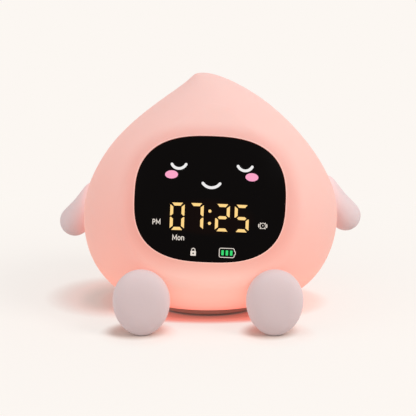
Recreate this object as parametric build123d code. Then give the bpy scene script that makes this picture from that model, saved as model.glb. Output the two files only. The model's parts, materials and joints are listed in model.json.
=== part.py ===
from build123d import *
from math import asin, cos, degrees, radians, sin
import os

# Kids alarm clock with night light.
#
# A hollow, peach-shaped silicone shade glows from inside. Its bottom ring is gripped between the base plate
# and the floor of a white chassis. A smoked, gently domed window carries the clock display in front. A key
# panel with speaker, charging socket and power slide closes the back. Soft arms and legs plug into the wall.
#
# Millimetres, +Z up, front towards -Y. The origin is on the table, at the middle of the anti-slip pad.

# ---------------------------------------------------------------- driving dimensions (mm, degrees)
# Shade: the peach form before its front and back are trimmed.
shade_width = 131.0
shade_depth = 117.0
shade_height = 117.0
shade_wall = 2.6
stand_height = 4.0  # underside of the shade above the table
shade_ledge = 6.5  # ring round the shade's bottom hole that the base grips

# Face: the domed front and the window in it.
face_height = 67.1
face_offset = 1.0  # the window sits this far right of the middle
face_set_back = 8.1  # dome's crown behind the peach form
face_tilt = 20.0
face_roll = 2.1  # clockwise, seen from the front
face_dome_radius = 130.0
face_edge_radius = 11.0
window_width = 73.8
window_height = 61.8
window_power = 2.7  # exponent of the window's rounded-square outline
lens_gap = 0.15
lens_recess = 0.4
lens_thickness = 2.2
lens_edge_radius = 0.5

# Back: the flat land and the key panel in it.
back_height = 46.0
back_set_back = 8.4
back_edge_radius = 6.0
panel_width = 56.0
panel_height = 48.0
panel_thickness = 2.2
panel_recess = 0.4
panel_gap = 0.15
panel_rim = 2.0
panel_flange = 3.5
panel_flange_thickness = 1.9
panel_head_recess = 0.1
panel_screw_places = ((-19.0, 15.5), (19.0, 15.5), (-18.0, -17.5), (18.0, -17.5))

# Display stack behind the window.
seat_gap = 0.05  # play between pieces that rest on each other's curved faces
frame_ledge = 1.4
frame_wall = 1.8
frame_flange = 3.8
display_depth = 12.0  # front of the display board behind the dome's crown
board_thickness = 1.2
mask_gap = 0.15
digit_height = 13.2
digit_width = 7.2
digit_centres = (-15.7, -6.2, 6.2, 15.7)
digits_drop = 9.0  # middle of the digit row below the window's middle
segment_width = 1.55
segment_gap = 0.55
colon_radius = 0.9
colon_spread = 5.9
guide_depth = 2.0
guide_ledge = 0.25
eye_spread = 32.2
eye_low = 13.9  # lowest point of the eye arcs, above the window's middle
eye_chord = 7.1
eye_sag = 2.2
smile_low = 5.2
smile_chord = 8.5
smile_sag = 2.1
stroke_width = 1.4
cheek_spread = 39.2
cheek_middle = 11.1
cheek_width = 6.5
cheek_height = 4.1
face_middle = 0.6  # the little face sits this far right of the window's middle
sign_windows = {  # middle (across, up), width and height of the light well behind each printed sign
    "pm": (-25.7, -11.9, 5.3, 3.5),
    "weekday": (-14.8, -19.4, 6.7, 3.5),
    "padlock": (-7.2, -25.6, 3.6, 4.6),
    "battery": (9.5, -25.4, 9.4, 5.4),
    "alarm": (26.2, -12.0, 5.2, 4.2),
}
sign_corner = 0.7
frame_boss_places = ((-37.2, -9.0), (-37.2, 9.0), (37.2, -9.0), (37.2, 9.0))
display_board_margin = 0.5  # the board ends this far inside the frame's flange
display_led_size = (1.0, 0.5, 0.35)

# Base and chassis.
base_inset = 1.5
base_clearance = 0.8  # underside of the base plate above the table
base_edge_radius = 0.8
base_head_recess = 0.2
hole_gap = 0.15
pad_thickness = 1.6
pad_inset = 3.5
pad_edge_radius = 0.4
base_screw_places = ((-14.0, -12.0), (14.0, -12.0), (-14.0, 12.0), (14.0, 12.0))
chassis_floor = 2.6
chassis_wall = 2.0
chassis_clearance = 6.0  # chassis walls inside the shade
chassis_width = 50.0
cheek_slot_size = (52.0, 16.0)
cheek_slot_places = (-12.0, 20.0)
cheek_slot_height = 48.0
display_plate_rim = (9.0, 7.0)  # the display plate's opening is this much smaller than the window, all round
spine_place = 3.0
deck_height = 84.0
deck_depth = 36.0
boss_radius = 3.0
small_boss_radius = 2.5
base_boss_height = 5.0
light_boss_height = 6.0

# Screws.
screw_radius = 1.2
screw_head_radius = 2.2
screw_head_height = 1.4
screw_length = 7.0
screw_hole_radius = 1.2
small_screw_length = 5.0
display_screw_length = 5.0

# Keys, power slide, socket and speaker on the back panel.
key_names = ("alarm", "down", "mode", "up", "light")
key_radius = 3.8
key_gap = 0.2
key_proud = 1.0
key_flange = 1.0
key_flange_thickness = 1.0
key_play = 0.3
key_stem = 1.0
key_travel = 0.5
key_pitch = 10.0
key_row = -9.0
key_edge_radius = 0.6
switch_size = 6.0
switch_height = 3.4
plunger_radius = 1.7
plunger_bore_gap = 0.1
plunger_depth = 0.6
port_row = -18.0
socket_width = 8.94
socket_height = 3.26
socket_wall = 0.35
socket_gap = 0.2
socket_recess = 0.5
socket_base = 3.5  # solid block behind the socket's mouth
tongue_thickness = 0.7
tongue_margin = 0.95
tongue_recess = 1.0
slide_place = -11.5
slide_travel = 2.0
slide_width = 3.4
slide_height = 2.6
slide_gap = 0.2
slide_proud = 0.6
slide_corner = 0.5
slide_flange = 0.9
slide_flange_margin = (0.8, 0.6)
slide_stem = 1.6
slide_stem_depth = 1.0
slide_rib_pitch = 0.9
slide_rib_width = 0.3
slide_rib_depth = 0.25
slide_switch_size = (8.0, 3.6, 3.5)
speaker_radius = 12.0
speaker_row = 8.5
speaker_depth = 3.6
speaker_wall = 0.8
magnet_radius = 7.0
magnet_height = 2.4
magnet_chamfer = 0.5
basket_vent_radius = 1.3
basket_vent_ring = 8.6
cone_gap = 0.6
cone_thickness = 0.3
coil_radius = 3.2
coil_drop = 1.7  # each drop is from the crest of the rolled surround
cap_drop = 1.1
roll_drop = 0.7
roll_width = 2.6
grille_hole_radius = 0.8
grille_pitch = 2.9
grille_rings = 3
main_board_depth = 11.0
main_board_size = (50.0, 42.0)
main_board_corner = 3.0
main_board_screw_places = ((-22.0, 3.5), (22.0, 3.5), (0.0, 18.5))
board_standoff = 2.8
rear_plate_size = (52.0, 44.0)
rear_plate_opening = (36.0, 28.0)
rear_plate_corner = 4.0

# Soft arms and legs.
stem_radius = 3.0
stem_gap = 0.1
stem_head_radius = 5.0
stem_head_thickness = 1.6
arm_azimuth = 23.0  # towards the back, from the side
arm_heights = {"left": 50.5, "right": 54.0}
arm_stand_off = 2.4  # middle of the arm's round root outside the shade
arm_root_radius = 7.9
arm_waist_radius = 7.6
arm_tip_radius = 8.1
arm_lengths = {"left": 18.0, "right": 19.2}  # between the middles of its two round ends
arm_droop = 49.6
leg_spacing = 65.0
leg_root_radius = 10.5
foot_width = 28.0
foot_height = 33.4
foot_place = 53.5  # the foot's widest ring in front of the clock's middle
foot_bulge = 7.0
foot_fullness = 0.8  # below 1, the sole is flatter and its edge rounder
foot_lean = 0.05  # share by which the foot is wider above its middle
foot_flat = 0.3
oval_steps = 16

# Battery, light board and small electronics.
battery_size = (42.0, 8.0, 34.0)
battery_edge_radius = 2.0
foam_size = (36.0, 1.0, 28.0)
light_board_size = (40.0, 30.0)
light_board_corner = 2.0
light_led_size = (3.5, 2.8, 0.8)
light_led_ring = (15.0, 10.0)
light_led_count = 8
light_led_dish = (0.5, 0.9)
light_screw_places = ((-17.0, -12.0), (17.0, -12.0), (-17.0, 12.0), (17.0, 12.0))
tap_sensor_size = (3.0, 3.0, 1.0)
chip_size = (7.0, 7.0, 1.2)
chip_place = (-6.0, -4.0)
crystal_size = (6.0, 2.0, 2.0)
crystal_place = (6.0, -6.0)
header_size = (6.0, 4.5, 4.0)
header_places = ((-10.0, 8.0), (0.0, 8.0), (10.0, 8.0))

# The peach form: (share of height, middle as a share of the half width, half width as a share of its most).
peach_rings = (
    (0.000, 0.000, 0.473),
    (0.035, 0.007, 0.680),
    (0.100, 0.011, 0.838),
    (0.200, 0.013, 0.948),
    (0.325, 0.018, 1.000),
    (0.455, 0.020, 0.985),
    (0.580, 0.018, 0.896),
    (0.700, 0.018, 0.751),
    (0.800, 0.027, 0.578),
    (0.880, 0.034, 0.403),
    (0.937, 0.026, 0.254),
    (0.971, 0.005, 0.157),
    (0.991, -0.023, 0.090),
)
peach_tip = -0.046


# ---------------------------------------------------------------- shared forms
def peach(inset=0.0):
    """The peach form, or the same form inset for a cavity or a clearance."""
    half_width = shade_width / 2 - inset
    half_depth = shade_depth / 2 - inset
    height = shade_height - 2 * inset
    base_z = stand_height + inset
    rings = []
    for share, middle, size in peach_rings:
        plane = Plane((middle * half_width, 0, base_z + share * height))
        rings.append((plane * Ellipse(size * half_width, size * half_depth)).face().outer_wire())
    tip = Vertex(peach_tip * half_width, 0, base_z + height)
    return Solid.make_loft(rings + [tip])


def squircle(width, height, power=window_power, steps=32):
    """A rounded square between a rectangle and an ellipse."""
    points = []
    for step in range(steps):
        angle = radians(360 * step / steps)
        reach_x = abs(2 * cos(angle) / width) ** power
        reach_y = abs(2 * sin(angle) / height) ** power
        radius = (reach_x + reach_y) ** (-1 / power)
        points.append((radius * cos(angle), radius * sin(angle)))
    return make_face(Spline(*points, periodic=True))


def slab(sketch, low, high):
    """A sketch made solid between two levels of its own frame."""
    return Pos(0, 0, low) * extrude(sketch, high - low, dir=(0, 0, 1))


def rod(radius, low, high, place=(0, 0)):
    """An upright cylinder between two levels."""
    return Pos(place[0], place[1], (low + high) / 2) * Cylinder(radius, high - low)


def block(size_x, size_y, low, high, place=(0, 0)):
    """An upright box between two levels."""
    return Pos(place[0], place[1], (low + high) / 2) * Box(size_x, size_y, high - low)


def screw(length):
    """A cross-head screw with its head above the origin and its shank below it."""
    head = rod(screw_head_radius, 0, screw_head_height)
    head = fillet(head.edges().group_by(Axis.Z)[-1], screw_head_height / 3)
    slot = 0.3 * screw_head_radius
    cross = block(1.3 * screw_head_radius, slot, screw_head_height / 2, 2 * screw_head_height)
    cross += block(slot, 1.3 * screw_head_radius, screw_head_height / 2, 2 * screw_head_height)
    return head - cross + rod(screw_radius, -length, 0)


def group(solids):
    """Like pieces of one kind as separate solids in one node."""
    return Compound([solid for piece in solids for solid in piece.solids()])


def seated(piece, places, level):
    """One piece repeated at several places of one level."""
    return group([Pos(x, y, level) * piece for x, y in places])


def window_outline(margin=0.0):
    return squircle(window_width + 2 * margin, window_height + 2 * margin)


def panel_outline(margin=0.0):
    return squircle(panel_width + 2 * margin, panel_height + 2 * margin)


def leaving_point(form, start, direction):
    """Where a line from inside a form leaves it, with the outward normal there."""
    hits = form.find_intersection_points(Axis(start, direction))
    ahead = [hit for hit in hits if (hit[0] - Vector(*start)).dot(Vector(*direction)) > 0]
    return max(ahead, key=lambda hit: (hit[0] - Vector(*start)).length)


outer_form = peach()
front_point, _ = leaving_point(outer_form, (face_offset, 0, face_height), (0, -1, 0))
back_point, _ = leaving_point(outer_form, (0, 0, back_height), (0, 1, 0))

# Local frames: x to the right and y up for someone who looks at that side, z out of the clock.
face = Plane(
    origin=front_point + Vector(0, face_set_back, 0),
    x_dir=(
        cos(radians(face_roll)),
        -sin(radians(face_roll)) * sin(radians(face_tilt)),
        -sin(radians(face_roll)) * cos(radians(face_tilt)),
    ),
    z_dir=(0, -cos(radians(face_tilt)), sin(radians(face_tilt))),
)
back = Plane(origin=back_point - Vector(0, back_set_back, 0), x_dir=(-1, 0, 0), z_dir=(0, 1, 0))

reach = 2 * max(shade_width, shade_height, shade_depth)
floor_level = stand_height + shade_wall
floor_top = floor_level + chassis_floor
lens_back = lens_recess + lens_thickness
board_front = -display_depth
board_back = board_front - board_thickness
panel_face = -panel_recess
panel_back = panel_face - panel_thickness
main_front = -main_board_depth
main_back = main_front - board_thickness
rear_plate_front = main_back - board_standoff


def dome(inset=0.0):
    """The ball that shapes the face, inset towards the inside of the clock."""
    return face * Pos(0, 0, -face_dome_radius) * Rot(90, 0, 0) * Sphere(face_dome_radius - inset)


def ring_outline(form_inset, edge_inset=0.0):
    """The oval on which the peach form stands, inset with the form and then from its own edge."""
    share = peach_rings[0][2]
    half_width = share * (shade_width / 2 - form_inset) - edge_inset
    half_depth = share * (shade_depth / 2 - form_inset) - edge_inset
    return Ellipse(half_width, half_depth)


def behind(plane, level):
    """The half space at and behind a level of a local frame."""
    return plane * Pos(0, 0, level - reach / 2) * Box(reach, reach, reach)


def trimmed(inset, edge_inset):
    """The peach form with its front and back trimmed and their edges rounded."""
    form = peach(inset) & dome(inset) & behind(back, -inset)
    front_edges = form.faces().filter_by(GeomType.SPHERE)[0].outer_wire().edges()
    form = form.fillet(face_edge_radius - edge_inset, front_edges)
    back_edges = form.faces().sort_by(Axis.Y)[-1].outer_wire().edges()
    return form.fillet(back_edge_radius - edge_inset, back_edges)


# ---------------------------------------------------------------- shade and soft limbs
def shade():
    wall = trimmed(0, 0) - cavity
    wall -= face * slab(window_outline(lens_gap), board_back, face_dome_radius / 4)
    wall -= back * slab(panel_outline(panel_gap), -2 * shade_wall, 1)
    wall -= slab(ring_outline(0, shade_ledge), 0, floor_top)
    for point, normal in limb_seats.values():
        wall -= Plane(origin=point, z_dir=normal) * rod(stem_radius + stem_gap, -3 * shade_wall, shade_wall)
    return wall


def oval(half_width, half_height, lean):
    """An oval that may be wider above its middle than below it."""
    points = []
    for step in range(oval_steps):
        angle = radians(360 * step / oval_steps)
        points.append((half_width * cos(angle) * (1 + lean * sin(angle)), half_height * sin(angle)))
    return make_face(Spline(*points, periodic=True))


def foot_form(length):
    """A soft leg along +Z that swells from its round root to a blunt, gently domed sole."""
    root_radius = leg_root_radius
    half_width = foot_width / 2
    half_height = foot_height / 2
    rings = []
    for angle in (80, 65, 45, 22):
        shrink = cos(radians(angle))
        rings.append((-root_radius * sin(radians(angle)), root_radius * shrink, root_radius * shrink, 0.0))
    for share in (0.0, 0.35, 0.7):
        blend = (3 - 2 * share) * share * share
        wide = root_radius + (half_width - root_radius) * blend
        high = root_radius + (half_height - root_radius) * blend
        rings.append((share * length, wide, high, foot_lean * blend))
    for angle in (0, 22, 42, 58, 72, 82):
        shrink = cos(radians(angle)) ** foot_fullness
        rise = foot_bulge * sin(radians(angle)) ** foot_fullness
        rings.append((length + rise, half_width * shrink, half_height * shrink, foot_lean))
    wires = []
    for level, wide, high, lean in rings:
        wires.append((Plane((0, 0, level)) * oval(wide, high, lean)).face().outer_wire())
    return Solid.make_loft([Vertex(0, 0, -root_radius)] + wires + [Vertex(0, 0, length + foot_bulge)])


def arm_form(length):
    """A soft arm along +Z, round at both ends and slightly waisted between them."""
    root = CenterArc((0, 0, 0), arm_root_radius, -90, 90)
    waist = (arm_waist_radius, length / 2)
    side = Spline((arm_root_radius, 0), waist, (arm_tip_radius, length), tangents=((0, 1), (0, 1)))
    tip = CenterArc((0, length, 0), arm_tip_radius, 0, 90)
    axis = Line((0, length + arm_tip_radius), (0, -arm_root_radius))
    return Rot(90, 0, 0) * revolve(make_face(root + side + tip + axis), Axis.Y)


def plugged(limb, seat):
    """A limb cut to the shade, with a stem through the wall and a head that holds it there."""
    point, normal = seat
    inside = -shade_wall - seat_gap
    plug = rod(stem_radius, inside - stem_head_thickness, stem_radius)
    head = rod(stem_head_radius, inside - stem_head_thickness, inside)
    head = fillet(head.edges().group_by(Axis.Z)[0], stem_head_thickness / 2)
    plug_frame = Plane(origin=point, z_dir=normal)
    body = max((limb - seat_form).solids(), key=lambda solid: solid.volume)
    return body + plug_frame * plug + (plug_frame * head & clear_cavity)


def arm_seat(side, sign):
    direction = (sign * cos(radians(arm_azimuth)), sin(radians(arm_azimuth)), 0)
    return leaving_point(outer_form, (0, 0, arm_heights[side]), direction)


def leg_seat(side, sign):
    return leaving_point(outer_form, (sign * leg_spacing / 2, 0, foot_height / 2 - foot_flat), (0, -1, 0))


def arm(side, sign):
    point, normal = limb_seats["arm_" + side]
    along = (sign * cos(radians(arm_droop)), 0, -sin(radians(arm_droop)))
    frame = Plane(origin=point + normal * arm_stand_off, x_dir=(0, 1, 0), z_dir=along)
    return plugged(frame * arm_form(arm_lengths[side]), (point, normal))


def leg(side):
    point, normal = limb_seats["leg_" + side]
    frame = Plane(origin=point, x_dir=(1, 0, 0), z_dir=(0, -1, 0))
    limb = frame * foot_form(foot_place + point.Y)
    limb -= Pos(0, 0, -reach / 2) * Box(reach, reach, reach)
    return plugged(limb, (point, normal))


# ---------------------------------------------------------------- window and display
def lens():
    """The smoked window, a shell of even thickness that lies flush in the shade."""
    shell = face * slab(window_outline(), board_front, 1) & dome(lens_recess)
    front_edges = shell.faces().filter_by(GeomType.SPHERE)[0].outer_wire().edges()
    return shell.fillet(lens_edge_radius, front_edges) - dome(lens_back)


def display_frame():
    """The bezel behind the window: a flange that grips the shade, a tube for the mask and four bosses."""
    top = shade_wall + seat_gap
    flange = face * slab(window_outline(frame_flange), board_front, 0)
    tube = slab(window_outline(frame_wall - frame_ledge), board_front, 0)
    for place in frame_boss_places:
        tube += rod(boss_radius, board_front, 0, place)
    body = flange - dome(top + frame_wall) + face * tube
    body = body & dome(top) & clear_cavity
    body -= face * slab(window_outline(-frame_ledge), board_back, 1)
    for place in frame_boss_places:
        body -= face * rod(screw_hole_radius, board_back, board_back + display_screw_length, place)
    return body


def digit_bars(inset):
    """The seven mitred bars of one digit, inset by half the gap between them and a little more."""
    half_gap = segment_gap / 2
    width = segment_width + segment_gap
    x = digit_width / 2 + half_gap
    y = digit_height / 2 + half_gap
    top = [(-x, y), (x, y), (x - width, y - width), (-x + width, y - width)]
    side = [(x, y), (x, 0), (x - width / 2, 0), (x - width, width / 2), (x - width, y - width)]
    middle = [(-x + width / 2, 0), (-x + width, width / 2), (x - width, width / 2)]
    middle += [(x - width / 2, 0), (x - width, -width / 2), (-x + width, -width / 2)]
    outlines = [top, [(px, -py) for px, py in top], middle]
    for sign_x in (-1, 1):
        for sign_y in (-1, 1):
            outlines.append([(sign_x * px, sign_y * py) for px, py in side])
    bars = []
    for points in outlines:
        bar = make_face(Polyline(*points, close=True))
        bars.append(offset(bar, -half_gap - inset, kind=Kind.INTERSECTION))
    return bars


def digit_wells(inset=0.0):
    wells = []
    for centre in digit_centres:
        wells += [Pos(centre, -digits_drop) * bar for bar in digit_bars(inset)]
    for level in (-colon_spread / 2, colon_spread / 2):
        wells.append(Pos(0, level - digits_drop) * Circle(colon_radius - inset))
    return wells


def sign_wells(inset=0.0):
    wells = []
    for across, up, width, height in sign_windows.values():
        well = RectangleRounded(width - 2 * inset, height - 2 * inset, sign_corner)
        wells.append(Pos(across, up) * well)
    return wells


def sagging_stroke(chord, sag, across, lowest, inset):
    """A stroke along an arc that hangs between two ends, like a closed eye or a smile."""
    radius = (chord**2 / 4 + sag**2) / (2 * sag)
    half_angle = degrees(asin(chord / 2 / radius))
    curve = CenterArc((0, 0, 0), radius, 270 - half_angle, 2 * half_angle)
    return Pos(across, lowest + radius) * SlotArc(curve, stroke_width - 2 * inset)


def face_strokes():
    """Chord, sag, place across and lowest point of the smile and of the two closed eyes."""
    eyes = [(eye_chord, eye_sag, face_middle + sign * eye_spread / 2, eye_low) for sign in (-1, 1)]
    return [(smile_chord, smile_sag, face_middle, smile_low)] + eyes


def cheek_wells(inset=0.0):
    cheek = Ellipse(cheek_width / 2 - inset, cheek_height / 2 - inset)
    return [Pos(face_middle + sign * cheek_spread / 2, cheek_middle) * cheek for sign in (-1, 1)]


def face_wells(inset=0.0):
    return [sagging_stroke(*line, inset) for line in face_strokes()] + cheek_wells(inset)


def all_wells(inset=0.0):
    return digit_wells(inset) + sign_wells(inset) + face_wells(inset)


def light_mask():
    """The block that keeps the lights apart: domed like the lens, with a stepped well for each light."""
    front = lens_back + seat_gap
    outline = window_outline(-frame_ledge - mask_gap)
    for channel in all_wells(guide_ledge):
        outline -= channel
    mask = face * slab(outline, board_front, 0) & dome(front)
    for seat in all_wells():
        mask -= face * slab(seat, board_front, 0) - dome(front + guide_depth)
    return mask


def guides(wells):
    """The milky light guides that fill the fronts of some wells."""
    front = lens_back + 2 * seat_gap
    fills = [face * slab(well, board_front, 0) & dome(front) for well in wells]
    return group([fill - dome(front + guide_depth - 2 * seat_gap) for fill in fills])


def display_board_outline():
    return window_outline(frame_flange - display_board_margin)


def display_board():
    plate = slab(display_board_outline(), board_back, board_front)
    for place in frame_boss_places:
        plate -= rod(screw_hole_radius, board_back - 1, board_front + 1, place)
    return face * plate


def display_leds():
    """One lamp on the display board under the middle of each well, lying along it."""
    lamp = Pos(0, 0, board_front + display_led_size[2] / 2) * Box(*display_led_size)
    lamps = [Pos(across, lowest) * lamp for _, _, across, lowest in face_strokes()]
    for well in digit_wells() + sign_wells() + cheek_wells():
        centre = well.face().center()
        size = well.bounding_box().size
        turn = 90 if size.Y > size.X else 0
        lamps.append(Pos(centre.X, centre.Y) * Rot(0, 0, turn) * lamp)
    return face * group(lamps)


def display_screws():
    turned = Rot(180, 0, 0) * screw(display_screw_length)
    return face * seated(turned, frame_boss_places, board_back - chassis_wall)


# ---------------------------------------------------------------- chassis and base
def chassis():
    """The white frame inside: floor, cheeks, spine and deck, and a plate each for display and main board."""
    half = chassis_width / 2
    inset = shade_wall + chassis_clearance
    walls = peach(inset) + slab(ring_outline(inset), floor_level, stand_height + inset + chassis_wall)
    walls &= behind(face, board_back - chassis_wall / 2)
    walls &= behind(back, rear_plate_front - chassis_wall / 2)
    cheek = block(chassis_wall, reach, floor_level, deck_height, (half - chassis_wall / 2, 0))
    spine = block(chassis_width, chassis_wall, floor_level, deck_height, (0, spine_place))
    deck = block(chassis_width, deck_depth, deck_height - chassis_wall, deck_height, (0, spine_place))
    body = (cheek + cheek.mirror(Plane.YZ) + spine + deck) & walls
    for centre_y in cheek_slot_places:
        slot = Rot(0, 90, 0) * slab(SlotOverall(*cheek_slot_size), -reach, reach)
        body -= Pos(0, centre_y, cheek_slot_height) * slot
    display_plate = slab(display_board_outline(), board_back - chassis_wall, board_back)
    opening = squircle(window_width - 2 * display_plate_rim[0], window_height - 2 * display_plate_rim[1])
    display_plate -= slab(opening, board_back - 2 * chassis_wall, board_front)
    for place in frame_boss_places:
        display_plate -= rod(screw_hole_radius, board_back - 2 * chassis_wall, board_front, place)
    body += face * display_plate
    rear_outline = RectangleRounded(*rear_plate_size, rear_plate_corner)
    rear_opening = RectangleRounded(*rear_plate_opening, rear_plate_corner)
    rear_plate = slab(rear_outline, rear_plate_front - chassis_wall, rear_plate_front)
    rear_plate -= slab(rear_opening, rear_plate_front - 2 * chassis_wall, 0)
    for place in panel_screw_places:
        rear_plate += rod(boss_radius, rear_plate_front - chassis_wall, panel_back, place)
    for place in main_board_screw_places:
        rear_plate += rod(small_boss_radius, rear_plate_front - chassis_wall, main_back, place)
    for place in panel_screw_places:
        rear_plate -= rod(screw_hole_radius, panel_back - screw_length, panel_back + 1, place)
    for place in main_board_screw_places:
        rear_plate -= rod(screw_hole_radius, main_front - small_screw_length, main_front, place)
    body += back * rear_plate
    body += slab(ring_outline(shade_wall, seat_gap), floor_level, floor_top)
    for place in base_screw_places:
        body += rod(boss_radius, floor_level, floor_top + base_boss_height, place)
        body -= rod(screw_hole_radius, floor_level - 1, floor_level + screw_length, place)
    for place in light_screw_places:
        spot = (place[0], place[1] + spine_place)
        body += rod(boss_radius, deck_height - light_boss_height, deck_height, spot)
        body -= rod(screw_hole_radius, deck_height - light_boss_height - 1, deck_height + 1, spot)
    return body


base_screw_seat = base_clearance + pad_thickness + screw_head_height + base_head_recess


def base_plate():
    """The round foot plate with a neck that fills the shade's bottom hole."""
    disc = slab(ring_outline(0, base_inset), base_clearance, stand_height)
    disc = fillet(disc.edges().group_by(Axis.Z)[0], base_edge_radius)
    neck = slab(ring_outline(0, shade_ledge + hole_gap), stand_height, floor_level)
    plate = disc + neck - slab(pad_outline(hole_gap), 0, pad_thickness)
    for place in base_screw_places:
        plate -= rod(screw_head_radius + hole_gap, 0, base_screw_seat, place)
        plate -= rod(screw_radius + hole_gap, 0, floor_top, place)
    return plate


def pad_outline(gap=0.0):
    return ring_outline(0, base_inset + pad_inset - gap)


def base_pad():
    pad = slab(pad_outline(), 0, pad_thickness)
    return fillet(pad.edges().group_by(Axis.Z)[0], pad_edge_radius)


def base_screws():
    return seated(Rot(180, 0, 0) * screw(screw_length), base_screw_places, base_screw_seat)


# ---------------------------------------------------------------- night light and battery
light_board_top = deck_height + board_thickness


def light_board():
    outline = RectangleRounded(*light_board_size, light_board_corner)
    board = slab(outline, deck_height, light_board_top)
    for place in light_screw_places:
        board -= rod(screw_radius + hole_gap, deck_height - 1, light_board_top + 1, place)
    return Pos(0, spine_place, 0) * board


def light_leds():
    lamps = []
    for lamp in range(light_led_count):
        angle = 360 * (lamp + 0.5) / light_led_count
        x = light_led_ring[0] * cos(radians(angle))
        y = light_led_ring[1] * sin(radians(angle))
        half_height = light_led_size[2] / 2
        dish = Pos(0, 0, half_height) * Cone(*light_led_dish, half_height)
        lamp_body = Box(*light_led_size) - dish
        lamps.append(Pos(x, y + spine_place, light_board_top + half_height) * lamp_body)
    return group(lamps)


def tap_sensor():
    length, width, height = tap_sensor_size
    return block(length, width, light_board_top, light_board_top + height, (0, spine_place))


def light_screws():
    return Pos(0, spine_place) * seated(screw(small_screw_length), light_screw_places, light_board_top)


battery_back = spine_place - chassis_wall / 2 - foam_size[1]


def battery():
    length, depth, height = battery_size
    pouch = block(length, depth, floor_top, floor_top + height, (0, battery_back - depth / 2))
    return fillet(pouch.edges().filter_by(Axis.X), battery_edge_radius)


def battery_foam():
    length, depth, height = foam_size
    middle = floor_top + battery_size[2] / 2
    return block(length, depth, middle - height / 2, middle + height / 2, (0, battery_back + depth / 2))


# ---------------------------------------------------------------- back panel and main board
def key_places():
    first = -(len(key_names) - 1) / 2
    return {name: (key_pitch * (first + place), key_row) for place, name in enumerate(key_names)}


def grille_holes():
    holes = [Circle(grille_hole_radius)]
    for ring in range(1, grille_rings + 1):
        places = PolarLocations(ring * grille_pitch, 6 * ring)
        holes += [place * Circle(grille_hole_radius) for place in places]
    return [Pos(0, speaker_row) * hole for hole in holes]


def slide_slot(gap):
    """The slot that the power slide's cap runs in."""
    width = slide_width + slide_travel + 2 * gap
    slot = RectangleRounded(width, slide_height + 2 * gap, slide_corner + gap / 2)
    return Pos(slide_place + slide_travel / 2, port_row) * slot


panel_screw_seat = panel_face - screw_head_height - panel_head_recess


def rear_panel():
    """The key panel, a shallow tray whose flange grips the shade from inside."""
    flange_top = -shade_wall - seat_gap
    flange_low = flange_top - panel_flange_thickness
    panel = slab(panel_outline(), flange_low, panel_face)
    panel = fillet(panel.edges().group_by(Axis.Z)[-1], panel_recess)
    panel += slab(panel_outline(panel_flange), flange_low, flange_top)
    panel -= slab(panel_outline(-panel_rim), flange_low - 1, panel_back)
    for place in key_places().values():
        panel -= rod(key_radius + key_gap, panel_back - 1, 1, place)
    panel -= group([slab(hole, panel_back - 1, 1) for hole in grille_holes()]).solids()
    panel -= slab(slide_slot(slide_gap), panel_back - 1, 1)
    socket = SlotOverall(socket_width + 2 * socket_gap, socket_height + 2 * socket_gap)
    panel -= Pos(0, port_row) * slab(socket, panel_back - 1, 1)
    for place in panel_screw_places:
        panel -= rod(screw_head_radius + hole_gap, panel_screw_seat, 1, place)
        panel -= rod(screw_radius + hole_gap, panel_back - 1, 1, place)
        panel -= rod(boss_radius + hole_gap, flange_low - 1, panel_back, place)
    return back * panel & clear_hole


def panel_screws():
    return back * seated(screw(screw_length), panel_screw_places, panel_screw_seat)


key_low = panel_back - key_play - key_flange_thickness
plunger_top = key_low - key_stem
switch_top = main_front + switch_height
slide_switch_top = main_front + slide_switch_size[2]


def key(name):
    """A round key cap with a retaining flange behind the panel and a stem to its switch."""
    place = key_places()[name]
    cap = rod(key_radius, key_low, key_proud)
    cap = fillet(cap.edges().group_by(Axis.Z)[-1], key_edge_radius)
    cap += rod(key_radius + key_flange, key_low, key_low + key_flange_thickness)
    cap += rod(plunger_radius, plunger_top, key_low)
    return back * Pos(place[0], place[1]) * cap


def plunger(name):
    """The moving plunger of a key's switch."""
    place = key_places()[name]
    return back * rod(plunger_radius, switch_top - plunger_depth, plunger_top, place)


def key_switches():
    switches = []
    for place in key_places().values():
        can = block(switch_size, switch_size, main_front, switch_top, place)
        bore_low = switch_top - plunger_depth - key_travel - key_play
        switches.append(can - rod(plunger_radius + plunger_bore_gap, bore_low, switch_top + 1, place))
    return back * group(switches)


def power_knob():
    """The power slide's cap, with a flange that covers its slot and a stem into its switch."""
    outline = RectangleRounded(slide_width, slide_height, slide_corner)
    cap = slab(outline, panel_back - slide_gap, slide_proud)
    cap = fillet(cap.edges().group_by(Axis.Z)[-1], slide_corner / 2)
    groove_low = slide_proud - slide_rib_depth
    for across in (-slide_rib_pitch, 0.0, slide_rib_pitch):
        cap -= block(slide_rib_width, 2 * slide_height, groove_low, slide_proud + 1, (across, 0))
    low = panel_back - slide_gap - slide_flange
    margin_x, margin_y = slide_flange_margin
    cap += block(slide_width + 2 * margin_x, slide_height + 2 * margin_y, low, low + slide_flange)
    cap += block(slide_stem, slide_stem, slide_switch_top - slide_stem_depth, low)
    return back * Pos(slide_place, port_row) * cap


def power_switch():
    length, width, height = slide_switch_size
    middle = (slide_place + slide_travel / 2, port_row)
    can = block(length, width, main_front, slide_switch_top, middle)
    slot_width = slide_stem + 2 * slide_gap
    slot_low = slide_switch_top - slide_stem_depth - slide_gap
    can -= block(slot_width + slide_travel, slot_width, slot_low, slide_switch_top + 1, middle)
    return back * can


def usb_socket():
    """A standing charging socket: a metal shell round a thin contact tongue."""
    top = panel_face - socket_recess
    shell = slab(SlotOverall(socket_width, socket_height), main_front, top)
    inner_width = socket_width - 2 * socket_wall
    mouth = SlotOverall(inner_width, socket_height - 2 * socket_wall)
    shell -= slab(mouth, main_front + socket_base, top + 1)
    tongue_width = inner_width - 2 * tongue_margin
    shell += block(tongue_width, tongue_thickness, main_front + socket_base - 1, top - tongue_recess)
    return back * Pos(0, port_row) * shell


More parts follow.
